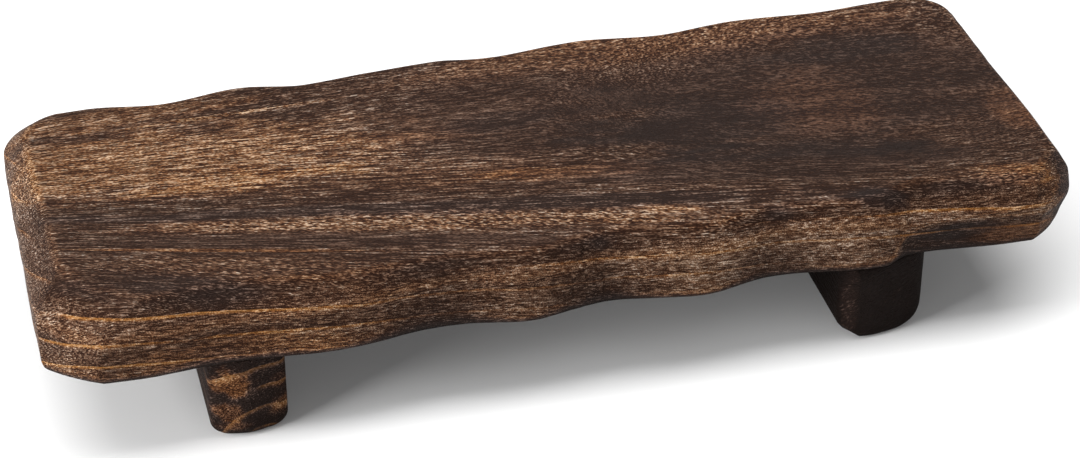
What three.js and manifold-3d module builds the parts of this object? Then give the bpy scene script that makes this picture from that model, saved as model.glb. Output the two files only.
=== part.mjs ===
// Wooden riser: a thick slab with a flat top and hand-carved, scalloped edges, standing on two
// crossbar feet that are screwed to it from below.
// Millimetres. +X runs along the slab, +Y to the back and +Z up. The origin is on the floor, under
// the middle of the slab.

import * as THREE from "three";
import Module from "manifold-3d";
import { mergeVertices } from "three/addons/utils/BufferGeometryUtils.js";

const wasm = await Module();
wasm.setup();

// Slab
const BOARD_LENGTH = 400;
const BOARD_WIDTH = 154;
const BOARD_THICKNESS = 30;
const BOARD_SOFTENING = 3.2;
const SCALLOP_AT_TOP = 0.95;

// Feet
const FOOT_HEIGHT = 36;
const LEFT_FOOT_WIDTH = 29.5;
const RIGHT_FOOT_WIDTH = 36.5;
const FOOT_OVERHANG = 59;
const FOOT_SET_IN = 6;
const FOOT_SOFTENING = 1.6;
const FOOT_SOFTENING_HEIGHT = 2.2;
const FOOT_TOP_WEAR = 0.8;
const FOOT_TOP_WEAR_HEIGHT = 0.7;

// Screws, two through each foot
const SCREW_SPACING = 84;
const SCREW_SHANK_DIAMETER = 4.2;
const SCREW_HEAD_DIAMETER = 8.4;
const SCREW_HEAD_HEIGHT = 3;
const SCREW_HEAD_RIM = 0.8;
const SCREW_BITE = 20;
const SCREW_TIP_LENGTH = 5;
const DRIVE_SLOT_LENGTH = 4.6;
const DRIVE_SLOT_WIDTH = 1.1;
const DRIVE_SLOT_DEPTH = 1.5;
const COUNTERBORE_DEPTH = 11;
const HEAD_CLEARANCE = 0.8;
const SHANK_CLEARANCE = 0.35;
const TIP_CLEARANCE = 1;

// Faces round a screw and its holes, and from the middle of its head to the rim
const ROUND_SEGMENTS = 24;
const HEAD_STEPS = 4;

// Faces round each softened edge of a carved block
const EDGE_STEPS = 3;
// Most of a stretch of an edge's profile that one softened corner takes up
const SOFTENING_LIMIT = 0.45;
// Flat run of an edge's profile on the underside and on the top, in softenings
const FLAT_RUN = 2;
// Passes that settle a corner between the two sides that it joins
const SETTLING_PASSES = 8;

// Each side of a carved block is set by keys along its length, and its share runs from 0 at the left
// or front end to 1 at the right or back end.
// scallops: [share, depth of the carving behind the widest line]
// shoulder: [share, width of the slope down from the top, its height as a share of the thickness]
// undercut: [share, width of the slope up from the underside, its height as a share of the thickness]
const BOARD_SIDES = {
  front: {
    scallops: [
      [0, 2.0], [0.085, 1.4], [0.17, 3.4], [0.265, 0.5], [0.37, 5.2], [0.452, 0.6], [0.524, 5.2],
      [0.617, 0], [0.692, 5.0], [0.79, 0.4], [0.845, 1.8], [0.93, 0], [1, 0.4],
    ],
    shoulder: [
      [0, 11, 0.36], [0.18, 10, 0.34], [0.27, 8, 0.3], [0.37, 4.5, 0.26], [0.5, 5.5, 0.28],
      [0.62, 6, 0.3], [0.72, 5, 0.28], [0.79, 7, 0.3], [0.83, 12, 0.42], [0.88, 10, 0.38], [1, 9, 0.32],
    ],
    undercut: [
      [0, 3, 0.18], [0.1, 1.8, 0.12], [0.8, 1.8, 0.12], [0.825, 5, 0.52], [0.87, 4.6, 0.59],
      [0.92, 4, 0.57], [1, 3.6, 0.52],
    ],
  },
  right: {
    scallops: [[0, 0.3], [0.3, 0], [0.6, 0.8], [0.8, 0.3], [1, 0.6]],
    shoulder: [[0, 6.5, 0.3], [0.35, 5.5, 0.28], [1, 7.5, 0.3]],
    undercut: [[0, 12, 0.48], [0.4, 8, 0.36], [1, 7, 0.3]],
  },
  back: {
    scallops: [
      [0, 1.8], [0.085, 1.2], [0.16, 5.6], [0.24, 1.6], [0.303, 6.0], [0.37, 3.0], [0.44, 1.4],
      [0.492, 3.9], [0.592, 0.3], [0.677, 4.1], [0.76, 0.6], [0.845, 2.4], [0.945, 0], [1, 0.8],
    ],
    shoulder: [[0, 8, 0.3], [0.3, 6, 0.26], [0.7, 6, 0.28], [1, 7, 0.3]],
    undercut: [[0, 3, 0.16], [0.5, 2, 0.12], [1, 4, 0.2]],
  },
  left: {
    scallops: [[0, 0.4], [0.3, 0], [0.5, 0.2], [0.75, 0], [1, 0.2]],
    shoulder: [[0, 12, 0.36], [0.35, 11, 0.34], [0.7, 8.5, 0.3], [1, 9, 0.32]],
    undercut: [[0, 3, 0.16], [0.5, 2.4, 0.14], [1, 3, 0.16]],
  },
};

// Corners. reach: [share of the height, reach of the round along X, along Y]
// facet: how far the round is cut flat, from 0 for round to 1 for a straight facet
const BOARD_CORNERS = {
  frontLeft: { reach: [[0, 18, 13], [0.5, 20, 18], [1, 25, 26]], facet: 0.7 },
  frontRight: { reach: [[0, 8, 6], [0.55, 19, 21], [1, 13, 15]], facet: 0.9 },
  backRight: { reach: [[0, 15, 15], [1, 13, 13]], facet: 0.25 },
  backLeft: { reach: [[0, 17, 17], [1, 14, 14]], facet: 0.35 },
};
const LEFT_FOOT_CORNERS = {
  frontLeft: { reach: [[0, 5.5, 5.5]], facet: 0.1 },
  frontRight: { reach: [[0, 6, 6]], facet: 0.1 },
  backRight: { reach: [[0, 6, 6]], facet: 0.1 },
  backLeft: { reach: [[0, 6.5, 6.5]], facet: 0.1 },
};
const RIGHT_FOOT_CORNERS = {
  frontLeft: { reach: [[0, 6.5, 6.5]], facet: 0.8 },
  frontRight: { reach: [[0, 10, 10]], facet: 0.1 },
  backRight: { reach: [[0, 7, 7]], facet: 0.1 },
  backLeft: { reach: [[0, 7, 7]], facet: 0.5 },
};

// Crown of a foot's end: [share of its width, fall behind the crown]
const LEFT_FOOT_CROWN = [[0, 3.2], [0.45, 0], [1, 4]];
const RIGHT_FOOT_CROWN = [[0, 0.8], [0.3, 0], [1, 5.4]];

// Stations along each straight stretch and round each corner
const BOARD_STATIONS = { long: 66, short: 14, corner: 6 };
const FOOT_STATIONS = { long: 3, short: 10, corner: 4 };

const darkSlab = new THREE.MeshStandardMaterial({ color: 0x4a3424, roughness: 0.62, metalness: 0 });
const darkFoot = new THREE.MeshStandardMaterial({ color: 0x33241b, roughness: 0.66, metalness: 0 });
const zinc = new THREE.MeshStandardMaterial({ color: 0x9c9a92, roughness: 0.38, metalness: 0.9 });

// Value at a share along hand-set keys: a cubic through the keys, level at each crest and hollow
function along(keys, share, column) {
  const last = keys.length - 1;
  if (share <= keys[0][0]) return keys[0][column];
  if (share >= keys[last][0]) return keys[last][column];
  const slope = (i) => (keys[i + 1][column] - keys[i][column]) / (keys[i + 1][0] - keys[i][0]);
  const tangent = (i) => {
    if (i === 0) return slope(0);
    if (i === last) return slope(last - 1);
    const before = slope(i - 1);
    const after = slope(i);
    return before * after <= 0 ? 0 : (2 * before * after) / (before + after);
  };
  let i = 0;
  while (share > keys[i + 1][0]) i += 1;
  const span = keys[i + 1][0] - keys[i][0];
  const t = (share - keys[i][0]) / span;
  const rise = keys[i + 1][column] - keys[i][column];
  const start = tangent(i) * span;
  const end = tangent(i + 1) * span;
  const square = 3 * rise - 2 * start - end;
  const cube = start + end - 2 * rise;
  return keys[i][column] + t * (start + t * (square + t * cube));
}

// Profile of one edge at a share along it, as [inset, height] from the underside to the top: the
// undercut, the upright face and the shoulder, with every corner between them rounded
function edgeProfile(side, share, block) {
  const undercut = along(side.undercut, share, 1);
  const undercutHeight = along(side.undercut, share, 2) * block.thickness;
  const shoulder = along(side.shoulder, share, 1);
  const shoulderHeight = along(side.shoulder, share, 2) * block.thickness;
  const corners = [
    new THREE.Vector2(undercut + FLAT_RUN * block.softening, 0),
    new THREE.Vector2(undercut, 0),
    new THREE.Vector2(0, undercutHeight),
    new THREE.Vector2(0, block.thickness - shoulderHeight),
    new THREE.Vector2(shoulder, block.thickness),
    new THREE.Vector2(shoulder + FLAT_RUN * block.softening, block.thickness),
  ];
  const rows = [];
  for (let k = 1; k < corners.length - 1; k += 1) {
    const toBefore = corners[k - 1].clone().sub(corners[k]);
    const toAfter = corners[k + 1].clone().sub(corners[k]);
    const shorter = Math.min(toBefore.length(), toAfter.length());
    const reach = Math.min(block.softening, SOFTENING_LIMIT * shorter);
    const round = new THREE.QuadraticBezierCurve(
      corners[k].clone().addScaledVector(toBefore.normalize(), reach),
      corners[k],
      corners[k].clone().addScaledVector(toAfter.normalize(), reach),
    );
    rows.push(...round.getPoints(EDGE_STEPS));
  }
  const depth = along(side.scallops, share, 1);
  return rows.map((point) => {
    const rise = point.y / block.thickness;
    const carried = depth * THREE.MathUtils.lerp(1, block.scallopAtTop, rise);
    return [point.x + carried, point.y];
  });
}

// Level rings of a carved block, from the underside to the top, each running anticlockwise from the
// front-left corner seen from above
function carvedRings(block) {
  const halfLength = block.length / 2;
  const halfWidth = block.width / 2;
  const { front, right, back, left } = block.sides;
  const longProfile = (side, x) => edgeProfile(side, (x + halfLength) / block.length, block);
  const endProfile = (side, y) => edgeProfile(side, (y + halfWidth) / block.width, block);
  const rowCount = longProfile(front, 0).length;

  // Round of a corner on one row, set in by the two sides that it joins
  const settleCorner = (signX, signY, corner, row) => {
    const longSide = signY < 0 ? front : back;
    const endSide = signX < 0 ? left : right;
    const centre = new THREE.Vector2(signX * halfLength, signY * halfWidth);
    const reach = new THREE.Vector2();
    for (let pass = 0; pass < SETTLING_PASSES; pass += 1) {
      const [endInset, endHeight] = endProfile(endSide, centre.y)[row];
      const [longInset, longHeight] = longProfile(longSide, centre.x)[row];
      const rise = (endHeight + longHeight) / 2 / block.thickness;
      reach.set(along(corner.reach, rise, 1), along(corner.reach, rise, 2));
      centre.set(signX * (halfLength - reach.x - endInset), signY * (halfWidth - reach.y - longInset));
    }
    return { centre, reach, facet: corner.facet };
  };

  const ringOf = (row) => {
    const { frontLeft, frontRight, backRight, backLeft } = block.corners;
    const rounds = [
      settleCorner(-1, -1, frontLeft, row),
      settleCorner(1, -1, frontRight, row),
      settleCorner(1, 1, backRight, row),
      settleCorner(-1, 1, backLeft, row),
    ];
    const sides = [front, right, back, left];
    const ring = [];
    const stretches = [];
    for (let k = 0; k < sides.length; k += 1) {
      const from = rounds[k].centre;
      const to = rounds[(k + 1) % rounds.length].centre;
      const isLong = k % 2 === 0;
      const outward = k === 0 || k === 3 ? -1 : 1;
      const steps = isLong ? block.stations.long : block.stations.short;
      const points = [];
      for (let j = 0; j <= steps; j += 1) {
        const place = from.clone().lerp(to, j / steps);
        const profile = isLong ? longProfile(sides[k], place.x) : endProfile(sides[k], place.y);
        const [inset, height] = profile[row];
        if (isLong) place.y = outward * (halfWidth - inset);
        else place.x = outward * (halfLength - inset);
        points.push(new THREE.Vector3(place.x, place.y, height));
      }
      stretches.push(points);
    }
    for (let k = 0; k < sides.length; k += 1) {
      ring.push(...stretches[k]);
      const next = (k + 1) % sides.length;
      const { centre, reach, facet } = rounds[next];
      const start = stretches[k][stretches[k].length - 1];
      const end = stretches[next][0];
      const firstAngle = (k - 1) * (Math.PI / 2);
      for (let j = 1; j < block.stations.corner; j += 1) {
        const t = j / block.stations.corner;
        const angle = firstAngle + t * (Math.PI / 2);
        const chord = start.clone().lerp(end, t);
        const round = new THREE.Vector3(
          centre.x + reach.x * Math.cos(angle),
          centre.y + reach.y * Math.sin(angle),
          chord.z,
        );
        ring.push(round.lerp(chord, facet));
      }
    }
    return ring;
  };

  const rings = [];
  for (let row = 0; row < rowCount; row += 1) rings.push(ringOf(row));
  return rings;
}

// Closed solid over level rings of equal count, with a flat face on the first and the last
function loft(rings) {
  const count = rings[0].length;
  const positions = rings.flat().flatMap((point) => point.toArray());
  const indices = [];
  for (let row = 0; row + 1 < rings.length; row += 1) {
    for (let j = 0; j < count; j += 1) {
      const next = (j + 1) % count;
      const lower = row * count;
      const upper = lower + count;
      indices.push(lower + j, lower + next, upper + next);
      indices.push(lower + j, upper + next, upper + j);
    }
  }
  const cap = (row) => THREE.ShapeUtils.triangulateShape(
    rings[row].map((point) => new THREE.Vector2(point.x, point.y)),
    [],
  );
  const top = (rings.length - 1) * count;
  for (const [a, b, c] of cap(0)) indices.push(a, c, b);
  for (const [a, b, c] of cap(rings.length - 1)) indices.push(top + a, top + b, top + c);
  const geometry = new THREE.BufferGeometry();
  geometry.setAttribute("position", new THREE.Float32BufferAttribute(positions, 3));
  geometry.setIndex(indices);
  return geometry;
}

// Booleans
function solidOf(geometry) {
  const bare = geometry.clone();
  bare.deleteAttribute("normal");
  bare.deleteAttribute("uv");
  const merged = mergeVertices(bare, 1e-5);
  return new wasm.Manifold(new wasm.Mesh({
    numProp: 3,
    vertProperties: new Float32Array(merged.attributes.position.array),
    triVerts: new Uint32Array(merged.index.array),
  }));
}

function geometryOf(solid) {
  const mesh = solid.getMesh();
  const geometry = new THREE.BufferGeometry();
  geometry.setAttribute("position", new THREE.Float32BufferAttribute(mesh.vertProperties, 3));
  geometry.setIndex(Array.from(mesh.triVerts));
  geometry.computeVertexNormals();
  return geometry;
}

function cut(geometry, tools) {
  const body = tools.reduce((left, tool) => left.subtract(solidOf(tool)), solidOf(geometry));
  return geometryOf(body);
}

// Solid of revolution about an upright line, from [radius, height] points that start and end on it
function revolve(profile, x, y) {
  const points = profile.map(([radius, height]) => new THREE.Vector2(radius, height));
  const geometry = new THREE.LatheGeometry(points, ROUND_SEGMENTS);
  geometry.rotateX(Math.PI / 2);
  geometry.translate(x, y, 0);
  return geometry;
}

// Heights that the pieces share
const BOARD_BOTTOM = FOOT_HEIGHT;
const SCREW_SEAT = COUNTERBORE_DEPTH;
const SCREW_TIP = BOARD_BOTTOM + SCREW_BITE;
const PAST_FACE = 1;

const FOOT_CENTRES = {
  left: -BOARD_LENGTH / 2 + FOOT_OVERHANG + LEFT_FOOT_WIDTH / 2,
  right: BOARD_LENGTH / 2 - FOOT_OVERHANG - RIGHT_FOOT_WIDTH / 2,
};
const SCREW_PLACES = {
  left_front_screw: [FOOT_CENTRES.left, -SCREW_SPACING / 2],
  left_back_screw: [FOOT_CENTRES.left, SCREW_SPACING / 2],
  right_front_screw: [FOOT_CENTRES.right, -SCREW_SPACING / 2],
  right_back_screw: [FOOT_CENTRES.right, SCREW_SPACING / 2],
};

// Pilot hole up into the slab for one screw
function pilotHole([x, y]) {
  const radius = SCREW_SHANK_DIAMETER / 2 + SHANK_CLEARANCE;
  return revolve([
    [0, BOARD_BOTTOM - PAST_FACE],
    [radius, BOARD_BOTTOM - PAST_FACE],
    [radius, SCREW_TIP - SCREW_TIP_LENGTH],
    [0, SCREW_TIP + TIP_CLEARANCE],
  ], x, y);
}

// Counterbore and through hole in a foot for one screw
function screwHole([x, y]) {
  const headRadius = SCREW_HEAD_DIAMETER / 2 + HEAD_CLEARANCE;
  const shankRadius = SCREW_SHANK_DIAMETER / 2 + SHANK_CLEARANCE;
  return revolve([
    [0, -PAST_FACE],
    [headRadius, -PAST_FACE],
    [headRadius, SCREW_SEAT],
    [shankRadius, SCREW_SEAT],
    [shankRadius, FOOT_HEIGHT + PAST_FACE],
    [0, FOOT_HEIGHT + PAST_FACE],
  ], x, y);
}

// Pan-head wood screw, point up, with its head seated on the counterbore's floor. The head is a
// quarter ellipse from its middle out to an upright rim.
function screw([x, y]) {
  const headRadius = SCREW_HEAD_DIAMETER / 2;
  const shankRadius = SCREW_SHANK_DIAMETER / 2;
  const headBottom = SCREW_SEAT - SCREW_HEAD_HEIGHT;
  const crown = SCREW_HEAD_HEIGHT - SCREW_HEAD_RIM;
  const pan = Array.from({ length: HEAD_STEPS + 1 }, (_, step) => {
    const angle = (step / HEAD_STEPS) * (Math.PI / 2);
    return [headRadius * Math.sin(angle), headBottom + crown * (1 - Math.cos(angle))];
  });
  const body = revolve([
    ...pan,
    [headRadius, SCREW_SEAT],
    [shankRadius, SCREW_SEAT],
    [shankRadius, SCREW_TIP - SCREW_TIP_LENGTH],
    [0, SCREW_TIP],
  ], x, y);
  const slots = [0, Math.PI / 2].map((turn) => {
    const slot = new THREE.BoxGeometry(DRIVE_SLOT_LENGTH, DRIVE_SLOT_WIDTH, 2 * DRIVE_SLOT_DEPTH);
    slot.rotateZ(turn);
    slot.translate(x, y, headBottom);
    return slot;
  });
  return cut(body, slots);
}

function board() {
  const rings = carvedRings({
    length: BOARD_LENGTH,
    width: BOARD_WIDTH,
    thickness: BOARD_THICKNESS,
    softening: BOARD_SOFTENING,
    scallopAtTop: SCALLOP_AT_TOP,
    sides: BOARD_SIDES,
    corners: BOARD_CORNERS,
    stations: BOARD_STATIONS,
  });
  const slab = loft(rings);
  slab.translate(0, 0, BOARD_BOTTOM);
  return cut(slab, Object.values(SCREW_PLACES).map(pilotHole));
}

// Crossbar foot that runs from front to back, with crowned ends and softened lower edges
function foot(width, centre, corners, crown, places) {
  const length = BOARD_WIDTH - 2 * FOOT_SET_IN;
  const plain = {
    scallops: [[0, 0]],
    shoulder: [[0, FOOT_TOP_WEAR, FOOT_TOP_WEAR_HEIGHT / FOOT_HEIGHT]],
    undercut: [[0, FOOT_SOFTENING, FOOT_SOFTENING_HEIGHT / FOOT_HEIGHT]],
  };
  const crowned = { ...plain, scallops: crown };
  const rings = carvedRings({
    length: width,
    width: length,
    thickness: FOOT_HEIGHT,
    softening: FOOT_SOFTENING,
    scallopAtTop: 1,
    sides: { front: crowned, right: plain, back: crowned, left: plain },
    corners,
    stations: { ...FOOT_STATIONS, long: FOOT_STATIONS.short, short: FOOT_STATIONS.long },
  });
  const bar = loft(rings);
  bar.translate(centre, 0, 0);
  return cut(bar, places.map(screwHole));
}

const riser = new THREE.Group();
riser.name = "wooden_riser";

function addPiece(name, geometry, material) {
  const mesh = new THREE.Mesh(geometry, material.clone());
  mesh.name = name;
  riser.add(mesh);
}

const leftPlaces = [SCREW_PLACES.left_front_screw, SCREW_PLACES.left_back_screw];
const rightPlaces = [SCREW_PLACES.right_front_screw, SCREW_PLACES.right_back_screw];
addPiece("board", board(), darkSlab);
addPiece(
  "left_foot",
  foot(LEFT_FOOT_WIDTH, FOOT_CENTRES.left, LEFT_FOOT_CORNERS, LEFT_FOOT_CROWN, leftPlaces),
  darkFoot,
);
addPiece(
  "right_foot",
  foot(RIGHT_FOOT_WIDTH, FOOT_CENTRES.right, RIGHT_FOOT_CORNERS, RIGHT_FOOT_CROWN, rightPlaces),
  darkFoot,
);
for (const [name, place] of Object.entries(SCREW_PLACES)) addPiece(name, screw(place), zinc);

export default riser;
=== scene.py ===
"""Looks of the wooden riser: a carved, scorched slab on two crossbar feet, with its screws.

Sizes in the classes are millimetres, and meshes are metres. +X runs along the slab, +Y to the back
and +Z up. The origin is on the floor, under the middle of the slab.
"""

import logging
import math
from collections.abc import Sequence
from dataclasses import dataclass, field
from enum import Enum

import bpy
import numpy as np
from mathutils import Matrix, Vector


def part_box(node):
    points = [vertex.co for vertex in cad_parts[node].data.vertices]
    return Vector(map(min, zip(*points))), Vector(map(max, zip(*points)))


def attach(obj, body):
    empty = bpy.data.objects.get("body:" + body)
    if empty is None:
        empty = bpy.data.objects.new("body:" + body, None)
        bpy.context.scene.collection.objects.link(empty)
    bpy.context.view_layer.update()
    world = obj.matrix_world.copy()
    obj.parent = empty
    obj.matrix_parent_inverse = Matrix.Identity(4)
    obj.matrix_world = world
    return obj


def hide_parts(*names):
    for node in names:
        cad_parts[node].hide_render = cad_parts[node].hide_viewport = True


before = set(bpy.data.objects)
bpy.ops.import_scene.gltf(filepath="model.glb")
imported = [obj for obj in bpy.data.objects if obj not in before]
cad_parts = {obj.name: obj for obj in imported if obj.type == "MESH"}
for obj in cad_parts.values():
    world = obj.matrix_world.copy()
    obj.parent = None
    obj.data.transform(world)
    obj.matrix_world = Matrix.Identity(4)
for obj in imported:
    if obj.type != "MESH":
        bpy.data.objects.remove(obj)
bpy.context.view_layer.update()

LOG = logging.getLogger("wooden_riser")
MM = 0.001
BODY = "root"
NOISE_ROUGHNESS = 0.55
PATCH_CORE = 0.45
Keys = tuple[tuple[float, ...], ...]
Size = tuple[float, float, float]
Step = tuple[float, ...]
Socket = bpy.types.NodeSocket
Value = Socket | float | tuple[float, ...]


class Side(Enum):
    """Sides of a carved block, in the order of its rings, anticlockwise from the front."""

    FRONT = 0
    RIGHT = 1
    BACK = 2
    LEFT = 3

    @property
    def is_long(self) -> bool:
        """Whether the side runs along X."""
        return self in (Side.FRONT, Side.BACK)

    @property
    def outward(self) -> int:
        """Sign of the direction that the side faces, along Y for a long side and X for an end."""
        return -1 if self in (Side.FRONT, Side.LEFT) else 1


class Corner(Enum):
    """Corners of a carved block, each named for the side that starts there."""

    FRONT_LEFT = 0
    FRONT_RIGHT = 1
    BACK_RIGHT = 2
    BACK_LEFT = 3

    @property
    def signs(self) -> tuple[int, int]:
        """Signs of X and Y at the corner."""
        return ((-1, -1), (1, -1), (1, 1), (-1, 1))[self.value]


class WoodSlot(Enum):
    """Material slots of the record for the slab's and the feet's wood."""

    SLAB = "slab_wood"
    FOOT = "foot_wood"


# Carved forms


def along(keys: Keys, share: np.ndarray, column: int = 1) -> np.ndarray:
    """Value at shares along listed keys.

    A cubic runs through the keys. Its slope at a key is the harmonic mean of the slopes on both
    sides, and level at each crest and hollow, so it never overshoots.

    Args:
        keys: Rows of a share and its values, in rising order of share.
        share: Shares to look up, of any shape.
        column: Column of the keys to read.

    Returns:
        Values in the shape of share.
    """
    table = np.array(keys, float)
    place = np.asarray(share, float)
    if len(table) == 1:
        return np.full(place.shape, table[0, column])
    at, value = table[:, 0], table[:, column]
    slope = np.diff(value) / np.diff(at)
    product = slope[:-1] * slope[1:]
    total = np.where(product > 0, slope[:-1] + slope[1:], 1.0)
    tangent = np.concatenate([slope[:1], np.where(product > 0, 2 * product / total, 0.0), slope[-1:]])
    place = np.clip(place, at[0], at[-1])
    low = np.clip(np.searchsorted(at, place, side="right") - 1, 0, len(at) - 2)
    span = at[low + 1] - at[low]
    t = (place - at[low]) / span
    rise = value[low + 1] - value[low]
    start, end = tangent[low] * span, tangent[low + 1] * span
    return value[low] + t * (start + t * (3 * rise - 2 * start - end + t * (start + end - 2 * rise)))


def waves(first: np.ndarray, second: np.ndarray, length: float, seed: int, count: int = 7) -> np.ndarray:
    """Soft random surface: sine waves of nearly one length in seeded directions, summed and divided by
    the root of their count.

    Args:
        first: First coordinate.
        second: Second coordinate, of the same shape.
        length: Wave length in the coordinates' unit.
        seed: Seed of the directions and phases.
        count: Number of waves.

    Returns:
        Heights of about -1 to 1.
    """
    dice = np.random.default_rng(seed)
    turn = dice.uniform(0, 2 * math.pi, count)
    phase = dice.uniform(0, 2 * math.pi, count)
    rate = 2 * math.pi / (length * dice.uniform(0.7, 1.5, count))
    shape = (count,) + (1,) * np.ndim(first)
    turn, phase, rate = turn.reshape(shape), phase.reshape(shape), rate.reshape(shape)
    sines = np.sin(rate * (np.cos(turn) * first + np.sin(turn) * second) + phase)
    return sines.sum(0) / math.sqrt(count)


@dataclass(frozen=True)
class EdgeKeys:
    """Carving along one side: depth of the scallops, slope of the shoulder and of the undercut."""

    scallops: Keys
    shoulder: Keys
    undercut: Keys


@dataclass(frozen=True)
class CornerKeys:
    """Round of one corner: reach along X and Y by height, and how far it is cut flat."""

    reach: Keys
    facet: float


@dataclass(frozen=True)
class Mesher:
    """Steps of the grid over a carved block."""

    long: int
    short: int
    corner: int
    rounding: int
    face: int


@dataclass
class CarvedBlock:
    """A block whose four edges are carved to keys, as level rings joined by two Coons faces.

    Attributes:
        low, high: Lowest and highest corners.
        softening: Length along both neighbours that the round of an edge takes up.
        scallop_at_top: Share of a scallop's depth that is left at the top.
        sides, corners: Keys of the carving.
        mesher: Steps of the grid.
        ripple: Deepest mark of hand carving. The waves swing by ripple_swing of it about its half.
        ripple_waves: Rows of a wave length, a stretch in height and a weight.
        ripple_turn: Length that a turn of one radian about the middle counts for.
        calm_ends: Shares of the half length between which the ripple fades to calm_share.
        sway: Rise and fall of the top, in waves of sway_length, which starts over sway_border, a share of
            the width.
        seed: Seed of the ripple, and with sway_seed added, of the sway.
        settling: Passes that place the rounds of the corners.
        longest_round: Largest share of a straight that a round takes up.
        scallop_lag, full_scallop, hollow_power: Shift, full depth and sharpness of a scallop's dark,
            partly scorching kept in the hollow and partly painted shade.
        hollow_rise: Rows of a height and the strength of that dark there.
        open_undercut: Insets between which an undercut turns dark with painted shade, over a
            crease_height under its head.
    """

    low: np.ndarray
    high: np.ndarray
    softening: float
    scallop_at_top: float
    sides: dict[Side, EdgeKeys]
    corners: dict[Corner, CornerKeys]
    mesher: Mesher
    ripple: float = 0.0
    ripple_swing: float = 0.45
    ripple_waves: Keys = ((26, 2.2, 1), (11, 1.6, 0.5))
    ripple_turn: float = 40.0
    calm_ends: tuple[float, float] = (0.86, 0.95)
    calm_share: float = 0.3
    sway: float = 0.0
    sway_length: float = 120.0
    sway_border: float = 0.125
    seed: int = 1
    sway_seed: int = 5
    settling: int = 8
    longest_round: float = 0.45
    scallop_lag: float = 0.012
    full_scallop: float = 5.2
    hollow_power: float = 1.5
    hollow_rise: Keys = ((0, 1), (0.3, 0.8), (0.5, 0.3), (0.7, 0.2), (0.84, 0.6), (0.95, 0.3), (1, 0))
    open_undercut: tuple[float, float] = (2.2, 4.8)
    crease_height: float = 0.12

    @property
    def size(self) -> np.ndarray:
        """Length, width and thickness."""
        return self.high - self.low

    @property
    def centre(self) -> np.ndarray:
        """Middle of the block in plan."""
        return (self.high[:2] + self.low[:2]) / 2

    # The slab's material darkens by this value: partly scorching kept in the hollows, partly painted shade
    # in the scallops and under the undercuts.
    def hollows(self, side: Side, share: np.ndarray, rise: np.ndarray) -> np.ndarray:
        """How far a point lies in a hollow: the scallop's depth, most at its foot and where it leaves
        over the shoulder, and the undercut.

        Args:
            side: The side.
            share: Shares along it.
            rise: Heights of the points as shares of the thickness.

        Returns:
            Values from 0 to 1.
        """
        keys = self.sides[side]
        scoop = along(keys.scallops, share + self.scallop_lag) / self.full_scallop
        strength = np.interp(rise, *zip(*self.hollow_rise))
        under = np.interp(along(keys.undercut, share), self.open_undercut, (0, 1))
        below = np.clip((along(keys.undercut, share, 2) - rise) / self.crease_height, 0, 1)
        return np.clip(scoop ** self.hollow_power * strength + under * below, 0, 1)

    def profile(self, side: Side, share: np.ndarray) -> tuple[np.ndarray, np.ndarray, np.ndarray]:
        """Edge profile from the underside to the top at shares along a side.

        The corners of the profile are the undercut's foot and head and the shoulder's foot and
        head. Each is rounded by a quadratic Bezier curve that reaches a softening length along both
        neighbours, and straight steps join the rounds.

        Args:
            side: The side.
            share: Shares along it, of any shape.

        Returns:
            Inset behind the side's widest line, height above the underside, and how far the point is
            on a rounded edge from 0 to 1, each with the profile's rows first.
        """
        keys, thickness = self.sides[side], self.size[2]
        under = along(keys.undercut, share)
        under_height = along(keys.undercut, share, 2) * thickness
        slope = along(keys.shoulder, share)
        slope_height = along(keys.shoulder, share, 2) * thickness
        zero = np.zeros_like(under)
        full = zero + thickness
        tail = 2 * self.softening
        points = np.stack([
            np.stack([under + tail, zero], -1),
            np.stack([under, zero], -1),
            np.stack([zero, under_height], -1),
            np.stack([zero, full - slope_height], -1),
            np.stack([slope, full], -1),
            np.stack([slope + tail, full], -1),
        ])
        column = (-1,) + (1,) * points[0].ndim
        t = np.linspace(0, 1, self.mesher.rounding + 1).reshape(column)
        step = np.linspace(0, 1, self.mesher.face + 1)[1:-1].reshape(column)
        rows, edges = [], []
        for k in range(1, 5):
            back, ahead = points[k - 1] - points[k], points[k + 1] - points[k]
            back_length = np.linalg.norm(back, axis=-1, keepdims=True)
            ahead_length = np.linalg.norm(ahead, axis=-1, keepdims=True)
            reach = np.minimum(self.softening, self.longest_round * np.minimum(back_length, ahead_length))
            first = points[k] + back / back_length * reach
            last = points[k] + ahead / ahead_length * reach
            if rows:
                gap = rows[-1][-1] + (first - rows[-1][-1]) * step
                rows.append(gap)
                edges.append(np.zeros(len(gap)))
            rows.append((1 - t) ** 2 * first + 2 * t * (1 - t) * points[k] + t ** 2 * last)
            edges.append(np.sin(np.linspace(0, math.pi, self.mesher.rounding + 1)))
        outline = np.concatenate(rows)
        edge = np.concatenate(edges)
        inset, height = outline[..., 0], outline[..., 1]
        carried = along(keys.scallops, share) * (1 + (self.scallop_at_top - 1) * height / thickness)
        return inset + carried, height, edge

    def settle(self, corner: Corner) -> tuple[np.ndarray, np.ndarray]:
        """Centre and reach of a corner's round on every row, found by repeated passes.

        Args:
            corner: The corner.

        Returns:
            Centres and reaches, each of one row per ring and two columns.
        """
        sign = np.array(corner.signs, float)
        half = self.size[:2] / 2
        long_side = Side.FRONT if sign[1] < 0 else Side.BACK
        end_side = Side.LEFT if sign[0] < 0 else Side.RIGHT
        keys = self.corners[corner].reach
        count = len(self.profile(Side.FRONT, np.zeros(1))[0])
        centre = np.tile(sign * half, (count, 1))
        reach = np.zeros((count, 2))
        rows = np.arange(count)
        for _ in range(self.settling):
            end_inset, end_height, _edge = self.profile(end_side, centre[:, 1] / self.size[1] + 0.5)
            long_inset, long_height, _edge = self.profile(long_side, centre[:, 0] / self.size[0] + 0.5)
            rise = (end_height[rows, rows] + long_height[rows, rows]) / (2 * self.size[2])
            reach = np.stack([along(keys, rise), along(keys, rise, 2)], -1)
            inset = np.stack([end_inset[rows, rows], long_inset[rows, rows]], -1)
            centre = sign * (half - reach - inset)
        return centre, reach

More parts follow.
